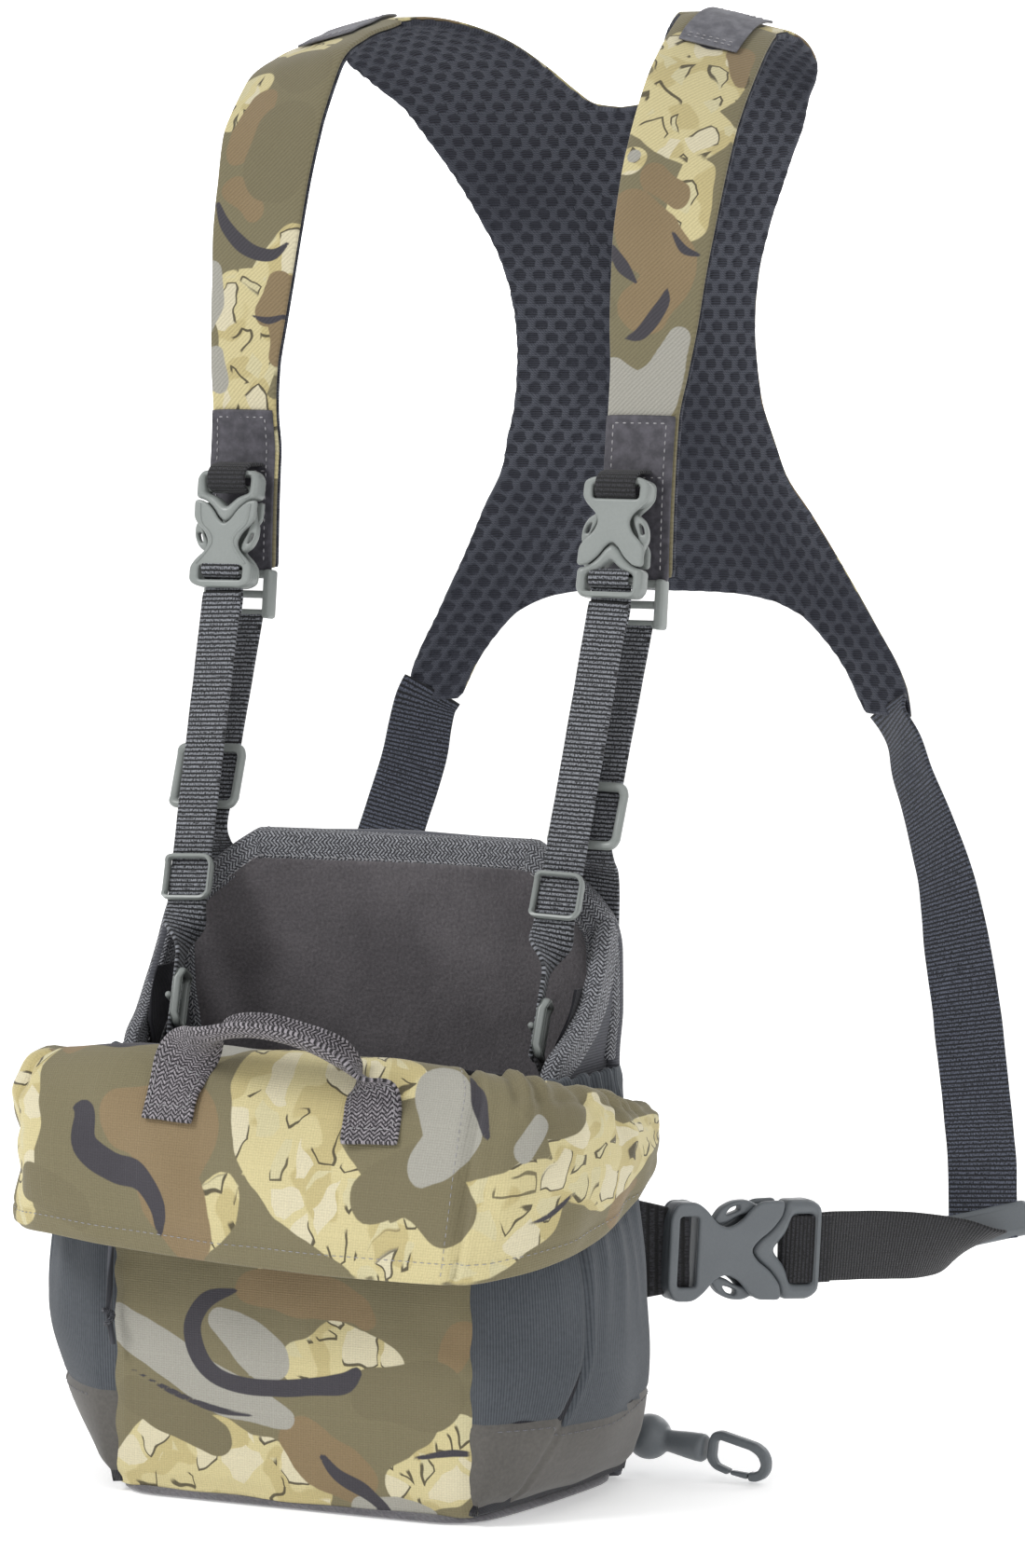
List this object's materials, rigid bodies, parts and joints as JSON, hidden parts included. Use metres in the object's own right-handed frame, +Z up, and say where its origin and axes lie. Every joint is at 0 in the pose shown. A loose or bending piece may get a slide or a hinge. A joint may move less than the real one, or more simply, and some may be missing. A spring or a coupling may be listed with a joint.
{
  "type": "binocular harness pack",
  "caption": "Open-topped chest pouch with a fold-down camouflage hood, an X-shaped mesh shoulder harness, side-release buckles, webbing adjusters, zipped front pocket and a stabiliser hook.",
  "frame": {"origin": "middle of the pouch's base, on the floor", "axes": "+Z up; -Y the pouch's front (camouflage pocket), +Y towards the wearer and the yoke; +X the pouch's right side seen from the front"},
  "size_m": [0.3608, 0.361, 0.5207],
  "materials": {
    "camo_fabric": "printed ripstop and knit, blobs of olive, brown, tan, cream and charcoal",
    "stretch_fabric": "smooth stretch weave",
    "panel_fabric": "plain pack cloth",
    "felt_base": "dark felt",
    "fleece": "short-pile fleece",
    "spacer_mesh": "honeycomb spacer mesh",
    "leather": "fine-grained, stitched round the edge",
    "webbing": "ribbed webbing",
    "tab_webbing": "dark woven tab",
    "handle_webbing": "herringbone webbing",
    "cord": "braided cord",
    "zip": "coil zip",
    "shoulder_plastic": "satin moulded plastic",
    "waist_plastic": "satin moulded plastic"
  },
  "bodies": {
    "pack": {"front_panel": "camo_fabric", "yoke_cover": "camo_fabric", "strap_L": "camo_fabric", "strap_R": "camo_fabric", "gusset_L": "stretch_fabric", "gusset_R": "stretch_fabric", "side_wing_L": "stretch_fabric", "side_wing_R": "stretch_fabric", "back_panel": "panel_fabric", "front_wall": "panel_fabric", "base_panel": "felt_base", "back_lining": "fleece", "yoke_mesh": "spacer_mesh", "leather_tab_L": "leather", "leather_tab_R": "leather", "shoulder_patch_L": "leather", "shoulder_patch_R": "leather", "main_webbing_L": "webbing", "main_webbing_R": "webbing", "tether_webbing_L": "webbing", "tether_webbing_R": "webbing", "waist_webbing_L": "webbing", "waist_webbing_R": "webbing", "waist_tab_L": "tab_webbing", "waist_tab_R": "tab_webbing", "stabiliser_cord": "cord", "zip_chain": "zip", "ladder_lock_L": "shoulder_plastic", "tether_buckle_female_L": "shoulder_plastic", "tether_buckle_male_L": "shoulder_plastic", "tether_lock_L": "shoulder_plastic", "ladder_lock_R": "shoulder_plastic", "tether_buckle_female_R": "shoulder_plastic", "tether_buckle_male_R": "shoulder_plastic", "tether_lock_R": "shoulder_plastic", "waist_buckle_female_L": "waist_plastic", "waist_buckle_male_L": "waist_plastic", "waist_buckle_female_R": "waist_plastic", "waist_buckle_male_R": "waist_plastic", "stabiliser_ball": "waist_plastic"},
    "hood": {"hood_shell": "camo_fabric", "hood_handle": "handle_webbing"},
    "zip_puller": {"zip_slider": "zip", "zip_pull_cord": "cord"},
    "main_adjuster_L": {"main_slider_L": "shoulder_plastic"},
    "keeper_L": {"tether_keeper_L": "shoulder_plastic"},
    "waist_adjuster_L": {"waist_slider_L": "waist_plastic"},
    "waist_latch_a_L": {"waist_buckle_latch_a_L": "waist_plastic"},
    "waist_latch_b_L": {"waist_buckle_latch_b_L": "waist_plastic"},
    "tether_latch_a_L": {"tether_buckle_latch_a_L": "shoulder_plastic"},
    "tether_latch_b_L": {"tether_buckle_latch_b_L": "shoulder_plastic"},
    "main_adjuster_R": {"main_slider_R": "shoulder_plastic"},
    "keeper_R": {"tether_keeper_R": "shoulder_plastic"},
    "waist_adjuster_R": {"waist_slider_R": "waist_plastic"},
    "waist_latch_a_R": {"waist_buckle_latch_a_R": "waist_plastic"},
    "waist_latch_b_R": {"waist_buckle_latch_b_R": "waist_plastic"},
    "tether_latch_a_R": {"tether_buckle_latch_a_R": "shoulder_plastic"},
    "tether_latch_b_R": {"tether_buckle_latch_b_R": "shoulder_plastic"},
    "hook": {"snap_hook": "waist_plastic"},
    "gate": {"snap_gate": "waist_plastic"}
  },
  "joints": [
    {"name": "hood_hinge", "type": "hinge", "parent": "pack", "child": "hood", "pos_m": [0, 0.038, 0.125], "axis": [1, 0, 0], "range_deg": [-50, 0]},
    {"name": "zip_slide", "type": "slide", "parent": "pack", "child": "zip_puller", "axis": [1, 0, 0], "range_m": [0, 0.125]},
    {"name": "main_slider_slide_L", "type": "slide", "parent": "pack", "child": "main_adjuster_L", "axis": [-0.0189, 0.3895, 0.9208], "range_m": [0, 0.035]},
    {"name": "tether_keeper_slide_L", "type": "slide", "parent": "pack", "child": "keeper_L", "axis": [-0.038, 0.3132, 0.9489], "range_m": [0, 0.04]},
    {"name": "waist_slider_slide_L", "type": "slide", "parent": "pack", "child": "waist_adjuster_L", "axis": [0.1305, 0.2673, 0.9547], "range_m": [0, 0.012]},
    {"name": "waist_latch_a_L_flex", "type": "hinge", "parent": "pack", "child": "waist_latch_a_L", "pos_m": [-0.12022, 0.089, 0.09125], "axis": [-0.7838, -0.621, 0], "range_deg": [-8, 0], "stiffness_Nm_per_rad": 0.05},
    {"name": "waist_latch_b_L_flex", "type": "hinge", "parent": "pack", "child": "waist_latch_b_L", "pos_m": [-0.11929, 0.08782, 0.06393], "axis": [-0.7838, -0.621, 0], "range_deg": [0, 8], "stiffness_Nm_per_rad": 0.05},
    {"name": "tether_latch_a_L_flex", "type": "hinge", "parent": "pack", "child": "tether_latch_a_L", "pos_m": [-0.06728, 0.04862, 0.34119], "axis": [0, -0.9801, 0.1984], "range_deg": [-8, 0], "stiffness_Nm_per_rad": 0.05},
    {"name": "tether_latch_b_L_flex", "type": "hinge", "parent": "pack", "child": "tether_latch_b_L", "pos_m": [-0.08665, 0.04859, 0.34105], "axis": [0, -0.9801, 0.1984], "range_deg": [0, 8], "stiffness_Nm_per_rad": 0.05},
    {"name": "main_slider_slide_R", "type": "slide", "parent": "pack", "child": "main_adjuster_R", "axis": [0.0189, 0.3895, 0.9208], "range_m": [0, 0.035]},
    {"name": "tether_keeper_slide_R", "type": "slide", "parent": "pack", "child": "keeper_R", "axis": [0.038, 0.3132, 0.9489], "range_m": [0, 0.04]},
    {"name": "waist_slider_slide_R", "type": "slide", "parent": "pack", "child": "waist_adjuster_R", "axis": [-0.1305, 0.2673, 0.9547], "range_m": [0, 0.012]},
    {"name": "waist_latch_a_R_flex", "type": "hinge", "parent": "pack", "child": "waist_latch_a_R", "pos_m": [0.12022, 0.089, 0.09125], "axis": [-0.7838, 0.621, 0], "range_deg": [-8, 0], "stiffness_Nm_per_rad": 0.05},
    {"name": "waist_latch_b_R_flex", "type": "hinge", "parent": "pack", "child": "waist_latch_b_R", "pos_m": [0.11929, 0.08782, 0.06393], "axis": [-0.7838, 0.621, 0], "range_deg": [0, 8], "stiffness_Nm_per_rad": 0.05},
    {"name": "tether_latch_a_R_flex", "type": "hinge", "parent": "pack", "child": "tether_latch_a_R", "pos_m": [0.08653, 0.04498, 0.32321], "axis": [0, 0.9801, -0.1984], "range_deg": [-8, 0], "stiffness_Nm_per_rad": 0.05},
    {"name": "tether_latch_b_R_flex", "type": "hinge", "parent": "pack", "child": "tether_latch_b_R", "pos_m": [0.06715, 0.04501, 0.32335], "axis": [0, 0.9801, -0.1984], "range_deg": [0, 8], "stiffness_Nm_per_rad": 0.05},
    {"name": "hook_swivel", "type": "hinge", "parent": "pack", "child": "hook", "pos_m": [0.1095, 0.056, 0.01], "axis": [0.9901, -0.0762, -0.118], "continuous": true},
    {"name": "gate_flex", "type": "hinge", "parent": "hook", "child": "gate", "pos_m": [0.11848, 0.05531, 0.00279], "axis": [0.0767, 0.9971, 0], "range_deg": [-20, 0], "stiffness_Nm_per_rad": 0.02}
  ],
  "couplings": [
    {"joint": "waist_latch_b_L_flex", "follows": "waist_latch_a_L_flex", "ratio": -1},
    {"joint": "tether_latch_b_L_flex", "follows": "tether_latch_a_L_flex", "ratio": -1},
    {"joint": "waist_latch_b_R_flex", "follows": "waist_latch_a_R_flex", "ratio": -1},
    {"joint": "tether_latch_b_R_flex", "follows": "tether_latch_a_R_flex", "ratio": -1}
  ]
}
